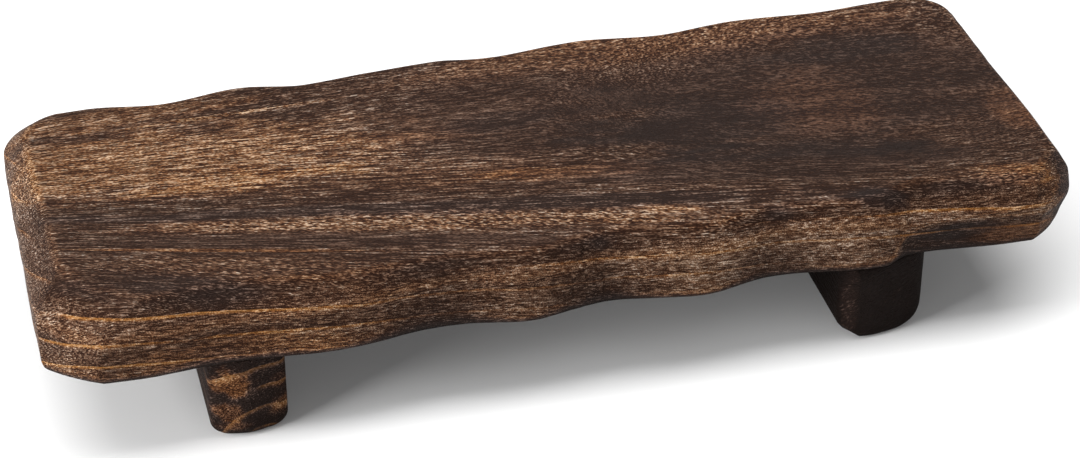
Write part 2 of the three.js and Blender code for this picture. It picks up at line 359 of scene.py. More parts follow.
    def rings(self) -> tuple[np.ndarray, np.ndarray, np.ndarray]:
        """Level rings from the underside to the top, anticlockwise from the middle of the front-left
        round.

        Returns:
            Points of shape rings, stations and 3, centred in plan and with the underside at zero,
            the rounded-edge share of each, and how far each lies in a hollow.
        """
        half = self.size[:2] / 2
        rounds = [self.settle(corner) for corner in Corner]
        count = len(rounds[0][0])
        rows = np.arange(count)
        stretches, shares, scoops = [], [], []
        for side in Side:
            start, end = rounds[side.value][0], rounds[(side.value + 1) % 4][0]
            steps = self.mesher.long if side.is_long else self.mesher.short
            t = np.linspace(0, 1, steps + 1)[None, :, None]
            place = start[:, None] + (end - start)[:, None] * t
            axis = 0 if side.is_long else 1
            share = place[..., axis] / self.size[axis] + 0.5
            inset, height, edge = self.profile(side, share)
            across = side.outward * (half[1 - axis] - inset[rows, rows])
            flat = np.stack([place[..., 0], across] if side.is_long else [across, place[..., 1]], -1)
            stretches.append(np.concatenate([flat, height[rows, rows][..., None]], -1))
            shares.append(np.tile(edge[:, None], (1, steps + 1)))
            scoops.append(self.hollows(side, share, height[rows, rows] / self.size[2]))
        pieces, edges, hollows = [], [], []
        t = np.linspace(0, 1, self.mesher.corner + 1)[1:-1]
        for side in Side:
            following = (side.value + 1) % 4
            centre, reach = rounds[following]
            facet = self.corners[Corner(following)].facet
            angle = (side.value - 1) * math.pi / 2 + t * math.pi / 2
            first, last = stretches[side.value][:, -1:], stretches[following][:, :1]
            chord = first + (last - first) * t[None, :, None]
            arc = centre[:, None] + reach[:, None] * np.stack([np.cos(angle), np.sin(angle)], -1)[None]
            bend = np.concatenate([arc, chord[..., 2:]], -1)
            pieces += [stretches[side.value], bend + (chord - bend) * facet]
            edges += [shares[side.value], np.tile(shares[side.value][:, -1:], (1, len(t)))]
            from_here, to_next = scoops[side.value][:, -1:], scoops[following][:, :1]
            hollows += [scoops[side.value], from_here + (to_next - from_here) * t]
        start = self.mesher.corner // 2
        joined = [np.roll(np.concatenate(part, 1), start, 1) for part in (pieces, edges, hollows)]
        return joined[0], joined[1], joined[2]

    def worn(self, rings: np.ndarray) -> np.ndarray:
        """Rings with the small unevenness of hand carving.

        Each point moves in along the line to the middle of the block by a soft random surface, less
        near the top, the underside and the ends, and never outwards.

        Args:
            rings: Rings as rings() gives them.

        Returns:
            The moved rings.
        """
        if not self.ripple:
            return rings
        half = self.size[:2] / 2
        x, y, z = np.moveaxis(rings, -1, 0)
        walk = np.arctan2(y / half[1], x / half[0])
        far = x + np.sign(x) * np.abs(y) + self.ripple_turn * walk
        free = np.sin(np.clip(z / self.size[2], 0, 1) * math.pi) ** 0.5
        rough = sum(
            weight * waves(far, z * stretch, length, self.seed + number)
            for number, (length, stretch, weight) in enumerate(self.ripple_waves)
        )
        depth = self.ripple * free * np.clip(0.5 + self.ripple_swing * rough, 0, 1)
        depth *= np.interp(np.abs(x) / half[0], self.calm_ends, (1.0, self.calm_share))
        outward = rings[..., :2] / np.linalg.norm(rings[..., :2], axis=-1, keepdims=True)
        moved = rings.copy()
        moved[..., :2] -= outward * depth[..., None]
        return moved

    def cap(self, ring: np.ndarray, first: int, fresh: int, sway: float) -> tuple[np.ndarray, np.ndarray]:
        """Coons face inside a ring: the sum of the two ruled faces between opposite sides, less the
        bilinear face of the four corner points.

        Args:
            ring: The ring's points.
            first: Number of the ring's first vertex.
            fresh: Number that the first new vertex gets.
            sway: Rise and fall of the inner points.

        Returns:
            New points, and the grid of vertex numbers, front row first.
        """
        wide, deep = self.mesher.long + self.mesher.corner, self.mesher.short + self.mesher.corner
        total = len(ring)
        front = np.arange(wide + 1)
        right = np.arange(wide, wide + deep + 1)
        back = np.arange(2 * wide + deep, wide + deep - 1, -1)
        left = np.arange(total, total - deep - 1, -1) % total
        u = np.linspace(0, 1, wide + 1)[None, :, None]
        v = np.linspace(0, 1, deep + 1)[:, None, None]
        across = (1 - v) * ring[front][None] + v * ring[back][None]
        lengthwise = (1 - u) * ring[left][:, None] + u * ring[right][:, None]
        corners = (
            (1 - u) * (1 - v) * ring[front[0]] + u * (1 - v) * ring[front[-1]]
            + (1 - u) * v * ring[back[0]] + u * v * ring[back[-1]]
        )
        points = across + lengthwise - corners
        inside = np.minimum(np.minimum(u, 1 - u) * wide / deep, np.minimum(v, 1 - v))[..., 0]
        swell = waves(points[..., 0], points[..., 1] * 2, self.sway_length, self.seed + self.sway_seed)
        points[..., 2] += sway * np.clip(inside / self.sway_border, 0, 1) * swell
        numbers = np.zeros((deep + 1, wide + 1), int)
        numbers[0], numbers[-1] = first + front, first + back
        numbers[:, 0], numbers[:, -1] = first + left, first + right
        inner = points[1:-1, 1:-1]
        numbers[1:-1, 1:-1] = fresh + np.arange(inner.shape[0] * inner.shape[1]).reshape(inner.shape[:2])
        return inner.reshape(-1, 3), numbers

    def mesh(self, name: str) -> bpy.types.Mesh:
        """Closed mesh of the block, in metres and in its place, with its rounded edges marked as "rim"
        and its hollows as "hollow".

        Args:
            name: Name of the mesh.

        Returns:
            The mesh.
        """
        rings, edge, hollow = self.rings()
        rings = self.worn(rings)
        count, stations = rings.shape[:2]
        numbers = np.arange(count * stations).reshape(count, stations)
        wall = quads_of(closed(numbers))
        total = count * stations
        below, low_grid = self.cap(rings[0], 0, total, 0.0)
        above, high_grid = self.cap(rings[-1], total - stations, total + len(below), self.sway)
        lid = quads_of(high_grid)
        sole = quads_of(low_grid)[:, ::-1]
        points = np.concatenate([rings.reshape(-1, 3), below, above])
        points[:, :2] += self.centre
        points[:, 2] += self.low[2]
        flat = np.zeros(len(below) + len(above))
        marks = {
            mark: np.concatenate([values.ravel(), flat])
            for mark, values in (("rim", edge), ("hollow", hollow))
        }
        return mesh_of(name, points * MM, np.concatenate([wall, sole, lid]), marks)


def quads_of(grid: np.ndarray) -> np.ndarray:
    """Quads over a grid of vertex numbers, anticlockwise when rows run up and columns to the right."""
    corners = [grid[:-1, :-1], grid[:-1, 1:], grid[1:, 1:], grid[1:, :-1]]
    return np.stack(corners, -1).reshape(-1, 4)


def closed(grid: np.ndarray) -> np.ndarray:
    """Grid of vertex numbers with its first column again after the last."""
    return np.concatenate([grid, grid[:, :1]], 1)


def mesh_of(
    name: str, points: np.ndarray, quads: np.ndarray, marks: dict[str, np.ndarray]
) -> bpy.types.Mesh:
    """Smooth mesh from arrays.

    Args:
        name: Name of the mesh.
        points: Vertices in metres.
        quads: Four vertex numbers for each face.
        marks: Values kept on the vertices by attribute name.

    Returns:
        The mesh.
    """
    mesh = bpy.data.meshes.new(name)
    mesh.from_pydata(points.tolist(), [], quads.tolist())
    for mark, values in marks.items():
        layer = mesh.attributes.new(mark, "FLOAT", "POINT")
        layer.data.foreach_set("value", np.ascontiguousarray(values, np.float32))
    mesh.polygons.foreach_set("use_smooth", np.ones(len(mesh.polygons), bool))
    mesh.update()
    return mesh


def turned(
    name: str, profile: Sequence[tuple[float, float]], place: np.ndarray, segments: int
) -> bpy.types.Mesh:
    """Closed surface of revolution about an upright line.

    The first and last points of the profile lie on the line, and each becomes one pole.

    Args:
        name: Name of the mesh.
        profile: Radius and height of each row, from the lowest pole to the highest.
        place: X and Y of the line.
        segments: Faces round it.

    Returns:
        The mesh, in metres.
    """
    outline = np.array(profile, float)
    angle = np.arange(segments) / segments * 2 * math.pi
    spoke = np.stack([np.cos(angle), np.sin(angle)], -1)
    inner = outline[1:-1]
    walls = np.concatenate([
        place + inner[:, None, :1] * spoke[None],
        np.tile(inner[:, None, 1:], (1, segments, 1)),
    ], -1)
    poles = np.array([[*place, outline[0, 1]], [*place, outline[-1, 1]]])
    points = np.concatenate([walls.reshape(-1, 3), poles])
    numbers = np.arange(len(inner) * segments).reshape(len(inner), segments)
    onward = np.roll(numbers, -1, 1)
    base, tip = len(points) - 2, len(points) - 1
    faces = quads_of(closed(numbers)).tolist()
    faces += np.stack([onward[0], numbers[0], np.full(segments, base)], -1).tolist()
    faces += np.stack([numbers[-1], onward[-1], np.full(segments, tip)], -1).tolist()
    mesh = bpy.data.meshes.new(name)
    mesh.from_pydata((points * MM).tolist(), [], faces)
    mesh.update()
    return mesh


def linked(name: str, data: bpy.types.ID) -> bpy.types.Object:
    """New object of some data, linked to the scene."""
    made = bpy.data.objects.new(name, data)
    bpy.context.scene.collection.objects.link(made)
    return made


def coat(mesh: bpy.types.Mesh, finish: bpy.types.Material) -> None:
    """Gives a mesh one finish in place of any other."""
    mesh.materials.clear()
    mesh.materials.append(finish)


def drill(piece: bpy.types.Object, bits: Sequence[bpy.types.Mesh]) -> None:
    """Cuts closed shapes out of a piece and keeps the result as its mesh.

    Args:
        piece: The piece.
        bits: Shapes to cut away, in the piece's place.
    """
    cutters = []
    for bit in bits:
        cutter = linked(bit.name, bit)
        cutters.append(cutter)
        cutting = piece.modifiers.new(bit.name, "BOOLEAN")
        cutting.operation = "DIFFERENCE"
        cutting.solver = "EXACT"
        cutting.object = cutter
    bpy.context.view_layer.update()
    seen = piece.evaluated_get(bpy.context.evaluated_depsgraph_get())
    cut = bpy.data.meshes.new_from_object(seen)
    cut.name = piece.data.name
    piece.modifiers.clear()
    piece.data = cut
    for cutter in cutters:
        bpy.data.objects.remove(cutter)


def place_piece(
    mesh: bpy.types.Mesh, node: str, bits: Sequence[bpy.types.Mesh],
    wood: bpy.types.Material,
) -> None:
    """Makes a mesh a piece that stands for a CAD node and rides on the riser, drills and dresses it.

    Args:
        mesh: The piece's mesh, in its place.
        node: The CAD node that it replaces.
        bits: Shapes to cut away.
        wood: Its finish.
    """
    piece = linked(mesh.name, mesh)
    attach(piece, BODY)
    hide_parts(node)
    drill(piece, bits)
    coat(piece.data, wood)
    LOG.info("%s: %d faces", piece.name, len(piece.data.polygons))


def node_box(node: str) -> tuple[np.ndarray, np.ndarray]:
    """Lowest and highest corners of a CAD node, in millimetres."""
    low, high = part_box(node)
    return np.array(low) / MM, np.array(high) / MM


# Finishes


def shade(code: str) -> tuple[float, ...]:
    """Linear colour from a hex code of the screen colour."""
    screen = np.array([int(code[k:k + 2], 16) for k in (0, 2, 4)]) / 255
    linear = np.where(screen <= 0.04045, screen / 12.92, ((screen + 0.055) / 1.055) ** 2.4)
    return (*linear.tolist(), 1.0)


class Sheet:
    """A node tree that is written as short calls."""

    def __init__(self, tree: bpy.types.NodeTree) -> None:
        """Takes the tree to write on."""
        self.tree = tree

    def put(
        self, kind: str, inputs: dict[int | str, Value] | None = None, **settings: object
    ) -> bpy.types.Node:
        """Adds a node.

        Args:
            kind: Blender's type name of the node.
            inputs: Values or sockets by input name or number.
            settings: Settings of the node itself.

        Returns:
            The node.
        """
        node = self.tree.nodes.new(kind)
        for name, setting in settings.items():
            setattr(node, name, setting)
        for name, value in (inputs or {}).items():
            if isinstance(value, Socket):
                self.lead(value, node, name)
            else:
                node.inputs[name].default_value = value
        return node

    def lead(self, value: Socket, node: bpy.types.Node, name: int | str) -> None:
        """Links a value to an input of a node."""
        self.tree.links.new(value, node.inputs[name])

    def reckon(self, kind: str, *values: Value, clamp: bool = False) -> Socket:
        """Result of a Math node of that operation."""
        node = self.put("ShaderNodeMath", dict(enumerate(values)), operation=kind, use_clamp=clamp)
        return node.outputs[0]

    def times(self, first: Value, *others: Value) -> Value:
        """Product of values."""
        for value in others:
            first = self.reckon("MULTIPLY", first, value)
        return first

    def gather(self, first: Value, *parts: tuple[Value, Value], clamp: bool = False) -> Value:
        """Sum of a first value and some weighted parts.

        Args:
            first: The first value.
            parts: Pairs of a value and its weight.
            clamp: Whether the sum is held between 0 and 1.

        Returns:
            The sum.
        """
        for number, (value, weight) in enumerate(parts, 1):
            last = number == len(parts)
            first = self.reckon("MULTIPLY_ADD", value, weight, first, clamp=clamp and last)
        return first

    def vector(self, kind: str, *values: Value) -> Socket:
        """Result of a Vector Math node of that operation."""
        node = self.put("ShaderNodeVectorMath", dict(enumerate(values)), operation=kind)
        return node.outputs["Value" if kind == "LENGTH" else "Vector"]

    def join(self, x: Value, y: Value, z: Value) -> Socket:
        """Vector of three values."""
        return self.put("ShaderNodeCombineXYZ", {0: x, 1: y, 2: z}).outputs[0]

    def split(self, vector: Socket) -> tuple[Socket, Socket, Socket]:
        """Three values of a vector."""
        node = self.put("ShaderNodeSeparateXYZ", {0: vector})
        return node.outputs[0], node.outputs[1], node.outputs[2]

    def noise(self, place: Socket, grow: Size, detail: float, output: int | str = 0) -> Socket:
        """Noise whose features are about as long, wide and deep as given.

        Args:
            place: Coordinates.
            grow: Size of a feature along each of them.
            detail: Finer layers of noise.
            output: Output of the noise node.

        Returns:
            The noise.
        """
        scaled = self.vector("MULTIPLY", place, tuple(1 / size for size in grow))
        settings = {"Vector": scaled, "Scale": 1.0, "Detail": detail, "Roughness": NOISE_ROUGHNESS}
        return self.put("ShaderNodeTexNoise", settings).outputs[output]

    def fleck(self, place: Socket, grow: Size, lean: Value) -> Socket:
        """Crisp flecks of a size, from -0.5 to 0.5, and more light ones with more lean."""
        cloud = self.reckon("ADD", self.noise(place, grow, 0.5), lean)
        return self.span(cloud, 0.4, 0.6, -0.5, 0.5)

    def span(
        self, value: Value, low: float, high: float, first: float = 0.0, last: float = 1.0
    ) -> Socket:
        """Smooth step of a value from low to high, as first to last."""
        sockets = {0: value, 1: low, 2: high, 3: first, 4: last}
        node = self.put("ShaderNodeMapRange", sockets, interpolation_type="SMOOTHSTEP")
        return node.outputs[0]

    def ramp(self, value: Socket, stops: Sequence[float], codes: Sequence[str]) -> Socket:
        """Colour of a value on a row of stops with hex codes."""
        node = self.put("ShaderNodeValToRGB", {0: value})
        row = node.color_ramp.elements
        while len(row) < len(stops):
            row.new(0.5)
        for element, place, code in zip(row, stops, codes):
            element.position = place
            element.color = shade(code)
        return node.outputs[0]

    def between(self, share: Value, first: Value, second: Value) -> Socket:
        """Value between two by a share."""
        return self.put("ShaderNodeMix", {0: share, 2: first, 3: second}).outputs[0]

    def mix(self, share: Value, first: Value, second: Value, kind: str = "MIX") -> Socket:
        """Colour mixed from two by a share."""
        sockets = {0: share, 6: first, 7: second}
        return self.put("ShaderNodeMix", sockets, data_type="RGBA", blend_type=kind).outputs[2]

    def group(self, tree: bpy.types.NodeTree, inputs: dict[str, Value]) -> bpy.types.Node:
        """A group placed in this tree with its own values."""
        return self.put("ShaderNodeGroup", inputs, node_tree=tree)


def new_group(
    name: str, inputs: dict[str, float | None], outputs: dict[str, str]
) -> tuple[Sheet, dict[str, Socket], bpy.types.Node]:
    """Starts a shader node group.

    Args:
        name: Name of the group.
        inputs: First value of each input by name, or None for a vector.
        outputs: Kind of each output by name.

    Returns:
        The sheet to write on, the input sockets by name, and the output node.
    """
    tree = bpy.data.node_groups.new(name, "ShaderNodeTree")
    for label, value in inputs.items():
        kind = "NodeSocketVector" if value is None else "NodeSocketFloat"
        socket = tree.interface.new_socket(label, in_out="INPUT", socket_type=kind)
        if value is not None:
            socket.default_value = value
    for label, kind in outputs.items():
        tree.interface.new_socket(label, in_out="OUTPUT", socket_type="NodeSocket" + kind)
    sheet = Sheet(tree)
    source = sheet.put("NodeGroupInput")
    return sheet, {socket.name: socket for socket in source.outputs}, sheet.put("NodeGroupOutput")


def soft_patch_group() -> bpy.types.NodeTree:
    """Soft patch: 1 near its middle and falling smoothly to 0 at its reach, with the border pushed
    in and out by a ragged value."""
    inputs = {"Place": None, "Middle": None, "Reach": None, "Push": 0.0}
    sheet, given, out = new_group("soft patch", inputs, {"Mask": "Float"})
    offset = sheet.vector("SUBTRACT", given["Place"], given["Middle"])
    away = sheet.vector("LENGTH", sheet.vector("DIVIDE", offset, given["Reach"]))
    away = sheet.reckon("ADD", away, given["Push"])
    sheet.lead(sheet.span(away, 1.0, PATCH_CORE), out, "Mask")
    return sheet.tree


@dataclass(frozen=True)
class ScorchedGrain:
    """Figure of scorched, open-pored wood in growth coordinates of millimetres: along the fibres,
    across them and through the rings. Each size is that of one kind of mark along the three.

    Tone is a sum of long threads and dashes, short tilted scales where the fibres dive or dots where
    pores are cut across, with streaks, bands, pores, fine pale veins, and a glowing upper edge of each
    ring. One row of colours turns tone into scorched brown and another into worn gold; the brown row's
    pale, greyish light end is partly pale-filled pores and partly painted sheen. The darkening input,
    which carries scorching and, on the slab, painted shade as well, turns them grey and, past 1, covers
    them with soot.
    """

    sway: Size = (90.0, 26.0, 26.0)
    sway_reach: Size = (0.0, 7.0, 3.0)
    shiver: Size = (15.0, 5.0, 5.0)
    shiver_reach: Size = (0.0, 1.3, 0.6)
    tilt: float = 0.3
    thread: Size = (7.0, 0.75, 0.45)
    dash: Size = (14.0, 1.15, 0.7)
    scale: Size = (2.0, 0.95, 0.55)
    grit: Size = (0.9, 0.7, 0.45)
    streak: Size = (40.0, 2.8, 1.7)
    band: Size = (150.0, 10.0, 6.0)
    pore: Size = (5.5, 1.2, 0.65)
    weave: Size = (6.0, 1.9, 1.3)
    gap: Size = (60.0, 24.0, 8.0)
    stops: tuple[float, ...] = (0.0, 0.2, 0.4, 0.55, 0.72, 0.88, 1.0)
    # Pale, greyish light end: partly pale-filled pores, partly painted sheen.
    brown: tuple[str, ...] = ("24130a", "3f2a1e", "533d31", "664f40", "7a6455", "907e71", "b0a094")
    golden: tuple[str, ...] = ("2a1308", "482810", "5f391d", "764a29", "906138", "a87d51", "c4a17f")
    grey: str = "4a4240"
    ring_edge: str = "96652f"
    soot: str = "0e0b0a"
    mean_tone: float = 0.23

    def bend(self, sheet: Sheet, growth: Socket) -> Socket:
        """Growth coordinates with the sway and the shiver of the fibres, each a noise about zero."""
        bent = growth
        for size, reach, detail in (
            (self.sway, self.sway_reach, 2.0), (self.shiver, self.shiver_reach, 1.0),
        ):
            cloud = sheet.noise(growth, size, detail, "Color")
            centred = sheet.vector("SUBTRACT", cloud, (0.5, 0.5, 0.5))
            bent = sheet.vector("ADD", bent, sheet.vector("MULTIPLY", centred, reach))
        return bent

    def rings(self, sheet: Sheet, given: dict[str, Socket], bent: Socket) -> tuple[Socket, Socket]:
        """Glow just under the upper edge of each ring, with gaps, and the season, from the ring's dark
        start to its light end.

        Args:
            sheet: The group's sheet.
            given: The group's inputs.
            bent: Bent growth coordinates.

        Returns:
            The glow and the season.
        """
        rise = sheet.split(bent)[2]
        ring = sheet.reckon("FRACT", sheet.reckon("DIVIDE", rise, given["Ring Step"]))
        below = sheet.times(sheet.reckon("SUBTRACT", 1.0, ring), given["Ring Step"])
        edge = sheet.reckon("DIVIDE", below, given["Line Width"])
        glow = sheet.times(sheet.span(edge, 1.0, 0.1), sheet.span(edge, 0.0, 0.12))
        unbroken = sheet.span(sheet.noise(bent, self.gap, 1.0), 0.28, 0.5)
        season = sheet.reckon("SUBTRACT", ring, 0.5)
        return sheet.times(glow, unbroken, given["Ring Line"]), sheet.times(season, given["Ring Line"])

    def flecks(
        self, sheet: Sheet, given: dict[str, Socket], bent: Socket, tilted: Socket
    ) -> Socket:
        """Threads and dashes, turned into scales by Scaly and into dots by Pored.

        Args:
            sheet: The group's sheet.
            given: The group's inputs.
            bent: Bent growth coordinates.
            tilted: The same, tilted across the fibres.

        Returns:
            The flecks' tone.
        """
        lean = sheet.gather(-0.04, (given["Gold"], 0.1))
        thread = sheet.fleck(bent, self.thread, lean)
        grit = sheet.fleck(bent, self.grit, 0.0)
        long = sheet.gather(sheet.times(thread, 0.62), (sheet.fleck(bent, self.dash, lean), 0.38))
        short = sheet.gather(sheet.times(thread, 0.25), (sheet.fleck(tilted, self.scale, lean), 0.8))
        plain = sheet.gather(sheet.between(given["Scaly"], long, short), (grit, 0.5))
        dots = sheet.gather(sheet.times(thread, 0.62), (grit, 0.42))
        return sheet.between(given["Pored"], plain, dots)

    def colour(
        self, sheet: Sheet, given: dict[str, Socket], tone: Socket, glow: Socket
    ) -> Socket:
        """Colour of a tone.

        Args:
            sheet: The group's sheet.
            given: The group's inputs.
            tone: The tone.
            glow: Glow of the ring edges.

        Returns:
            The colour.
        """
        brown = sheet.ramp(tone, self.stops, self.brown)
        golden = sheet.ramp(tone, self.stops, self.golden)
        colour = sheet.mix(sheet.gather(given["Gold"], (glow, 4.0), clamp=True), brown, golden)
        grey = sheet.mix(0.55, colour, shade(self.grey), "COLOR")
        # Scorching and, on the slab, painted shade turn the colour grey.
        scorch_and_shade_grey = sheet.reckon("MULTIPLY", given["Char And Shade"], 0.95, clamp=True)
        colour = sheet.mix(scorch_and_shade_grey, colour, grey)
        colour = sheet.mix(sheet.span(glow, 0.1, 0.45, 0.0, 0.65), colour, shade(self.ring_edge))
        return sheet.mix(sheet.span(given["Char And Shade"], 1.0, 2.0, 0.0, 0.6), colour, shade(self.soot))

    def group(self) -> bpy.types.NodeTree:
        """The figure as a node group, which puts out its colour, roughness and height."""
        sheet, given, out = new_group("scorched grain", {
            "Growth": None, "Gold": 0.5, "Char And Shade": 0.0, "Calm": 0.0, "Scaly": 0.0, "Pored": 0.0,
            "Ring Step": 9.5, "Ring Line": 0.3, "Line Width": 2.4,
        }, {"Color": "Color", "Roughness": "Float", "Height": "Float"})
        bent = self.bend(sheet, given["Growth"])
        along_fibre, across, rise = sheet.split(bent)
        tilted = sheet.join(along_fibre, sheet.gather(across, (along_fibre, self.tilt)), rise)
        glow, season = self.rings(sheet, given, bent)
        flecks = self.flecks(sheet, given, bent, tilted)
        streak = sheet.reckon("SUBTRACT", sheet.noise(bent, self.streak, 1.5), 0.5)
        band = sheet.reckon("SUBTRACT", sheet.noise(bent, self.band, 2.5), 0.5)
        pore = sheet.span(sheet.noise(bent, self.pore, 0.4), 0.60, 0.66)
        weave = sheet.reckon("SUBTRACT", sheet.noise(tilted, self.weave, 0.6), 0.5)
        vein = sheet.span(sheet.reckon("ABSOLUTE", weave), 0.035, 0.0)
        streaky = sheet.gather(0.5, (given["Pored"], -0.25))
        lively = sheet.gather(1.0, (given["Calm"], -0.8))
        marks = sheet.gather(flecks, (streak, streaky), (pore, -0.2), (vein, 0.3))
        tone = sheet.gather(
            self.mean_tone, (marks, lively), (band, 0.6), (given["Gold"], 0.12), (given["Char And Shade"], -0.3),
            (season, 0.5), (glow, 1.0),
        )
        sheet.lead(self.colour(sheet, given, tone, glow), out, "Color")
        sheet.lead(sheet.span(tone, 0.0, 1.0, 0.62, 0.5), out, "Roughness")
        sheet.lead(sheet.gather(sheet.times(pore, -0.8), (flecks, 1.2)), out, "Height")
        return sheet.tree


@dataclass(frozen=True)
class Patch:
    """A soft patch: its middle and reach along the grain, across it and in height, in millimetres, how
    strong it is and how ragged its border."""

    middle: Size
    reach: Size
    strength: float
    ragged: float = 1.0


class Ground:
    """A material's ground, over which soft patches with ragged borders are laid."""

    def __init__(
        self, sheet: Sheet, tree: bpy.types.NodeTree, place: Socket, rag: Size, push: float
    ) -> None:
        """Prepares the ground.

        Args:
            sheet: The material's sheet.
            tree: The soft patch group.
            place: Position in the patches' own coordinates.
            rag: Size of the raggedness.
            push: How far it pushes the borders in and out, as a share of a reach.
        """
        self.sheet = sheet
        self.tree = tree
        self.place = place
        self.ragged = sheet.noise(place, rag, 3.0)
        self.push = sheet.gather(-push / 2, (self.ragged, push))

    def lay(self, first: Value, patches: Sequence[Patch]) -> Value:
        """Sum of soft patches over a first value.

        Args:
            first: Value where no patch reaches.
            patches: The patches.

        Returns:
            The sum.
        """
        for patch in patches:
            mask = self.sheet.group(self.tree, {
                "Place": self.place, "Middle": patch.middle, "Reach": patch.reach,
                "Push": self.sheet.times(self.push, patch.ragged),
            }).outputs["Mask"]
            first = self.sheet.gather(first, (mask, patch.strength))
        return first

    def uneven(self, height: Socket, rag: float) -> Socket:
        """A height with the raggedness added, rag millimetres deep."""
        return self.sheet.gather(height, (self.ragged, rag))


@dataclass(frozen=True)
class SlabFinish:
    """Scorched and oiled wood of the slab, whose fibres fan out from a point beyond its left end.

    The rings dip along the slab, tilt across it and swell at the right. Heights are millimetres, and a
    rag is how far a border goes up and down. A step is a start and an end along X, Y or Z, with the values
    there where they aren't 0 and 1. The hollows and the lower edge are darkened with painted shade, in
    the hollows partly scorching too.
    """

    grain: bpy.types.NodeTree
    patch: bpy.types.NodeTree
    fan: tuple[float, float] = (-450.0, 43.0)
    dip: float = 0.075
    tilt: float = 0.35
    swell: Patch = Patch((128, 16, 60), (130, 62, 60), 20, 0)
    ring_step: float = 9.3
    ring_start: float = 3.4
    line_width: float = 1.9
    left_lines: Step = (-60, -150, 0.15, 0.42)
    right_lines: Step = (105, 140, 0, 0.15)
    right_line_heights: Step = (45, 49)
    front_lines: Step = (-30, -58, 0.4)
    low_lines: Step = (39, 46, 0.45)
    rag: Size = (30.0, 9.0, 9.0)
    push: float = 1.1
    top_edge: float = 64.5
    top_rag: float = 5.0
    flank: Step = (65, 59)
    # Painted shade towards the lower edge: heights over which the slab darkens, and the rag of each
    # border.
    low: Step = (44.5, 40)
    low_rag: float = 4.0
    lowest: Step = (40.5, 37.5)
    lowest_rag: float = 3.0
    stretch_on_flank: float = 1.6
    stretch_on_top: float = 0.7
    pored_flank: float = 0.65
    relief: float = 0.35
    gloss: float = 0.06
    gold: tuple[Patch, ...] = (
        Patch((-160, 12, 66), (145, 46, 14), 0.7),
        Patch((-165, 66, 66), (75, 15, 14), 0.45),
        Patch((-204, -30, 48), (24, 170, 26), -0.5, 0.5),
        Patch((60, -60, 50), (75, 16, 20), 0.1),
        Patch((-107, 52, 66), (52, 2.2, 14), 0.6, 0.3),
        Patch((-75, -18, 66), (115, 16, 10), 0.3),
        Patch((2, -23, 66), (44, 7, 8), 0.5),
        Patch((36, -49.6, 64), (17, 4, 6), 0.6),
        Patch((70, 62, 66), (150, 22, 14), 0.45),
        Patch((114, 9, 66), (34, 27, 10), 0.55, 1.2),
        Patch((189, -3, 65), (13, 14, 10), 0.6),
        Patch((-60, -54, 66), (130, 10, 10), 0.5),
        Patch((-120, -92, 62), (80, 14, 12), 0.3),
        Patch((-150, -118, 43), (95, 45, 9), 0.5),
        Patch((-130, -77, 64), (80, 2.2, 14), 0.7, 0.3),
        Patch((172, -34.5, 63), (36, 6, 7), 0.8),
        Patch((204, -30, 51), (19, 24, 20), 0.35),
        Patch((172, -40, 43), (34, 14, 9), 0.6),
    )
    # Patches that darken the slab: scorching, and painted shade where marked below.
    char_and_shade: tuple[Patch, ...] = (
        Patch((-165, 66, 66), (75, 15, 14), -0.2),
        Patch((-60, -44, 66), (200, 7, 10), 0.5),
        Patch((-100, -69, 66), (120, 8, 10), 0.2),
        Patch((112, 14, 66), (120, 44, 12), 0.42),
        Patch((-5, 22, 66), (70, 45, 12), 0.2),
        Patch((62, 3, 66), (58, 18, 10), 0.27, 1.4),
        Patch((92, -18, 66), (60, 8, 10), 0.35),
        Patch((138, 39, 66), (40, 10, 10), 0.35),
        # Painted shade in the scallop hollows just under the front shoulder.
        Patch((116, -45, 62), (17, 6, 8), 0.9),
        Patch((2, -62.5, 60), (13, 7, 6), 0.8),
        Patch((75, -48.5, 61), (12, 6, 6), 0.7),
        Patch((60, -60, 50), (75, 16, 20), -0.45),
        Patch((204, -30, 51), (19, 24, 20), 1.75),
        # Painted shade under the ridge of the right undercut.
        Patch((144, -42.5, 47), (30, 7, 7), 0.75),
        Patch((165, -40, 60), (45, 12, 9), 0.5),
        Patch((-150, -118, 50), (80, 50, 20), 0.25),
        Patch((172, -40, 43), (34, 14, 9), -0.55),
        Patch((80, -26, 66), (110, 12, 10), 0.35),
        Patch((-10, 17, 66), (26, 9, 9), 0.3),
        Patch((-150, -114, 62), (80, 14, 9), 0.35),
    )
    calm: tuple[Patch, ...] = (
        Patch((122, 14, 66), (122, 46, 12), 0.6),
        Patch((80, -26, 66), (110, 13, 10), 0.35),
        Patch((-100, -69, 66), (120, 8, 10), 0.35),
        Patch((-150, 0, 66), (130, 50, 14), -0.25),
        Patch((-107, 52, 66), (55, 2.4, 14), -0.9, 0.3),
        Patch((-50, -54, 66), (130, 11, 10), -0.18),
        Patch((0, 20, 66), (70, 40, 12), 0.38),
        Patch((172, -40, 43), (34, 14, 9), 0.4),
    )
    scaly: tuple[Patch, ...] = (
        Patch((-50, -54, 66), (130, 11, 10), 0.9),
        Patch((-130, -93, 62), (90, 17, 12), 0.9),
        Patch((122, 14, 66), (122, 46, 12), 0.9),
        Patch((60, 62, 66), (170, 24, 14), 0.5),
        Patch((170, -38, 62), (45, 10, 9), 0.8),
    )

    def across(self, sheet: Sheet, x: Socket, y: Socket) -> Socket:
        """Distance across the fan of fibres, as it is where X is zero."""
        spread = sheet.reckon("DIVIDE", -self.fan[0], sheet.reckon("SUBTRACT", x, self.fan[0]))
        return sheet.gather(self.fan[1], (sheet.reckon("SUBTRACT", y, self.fan[1]), spread))

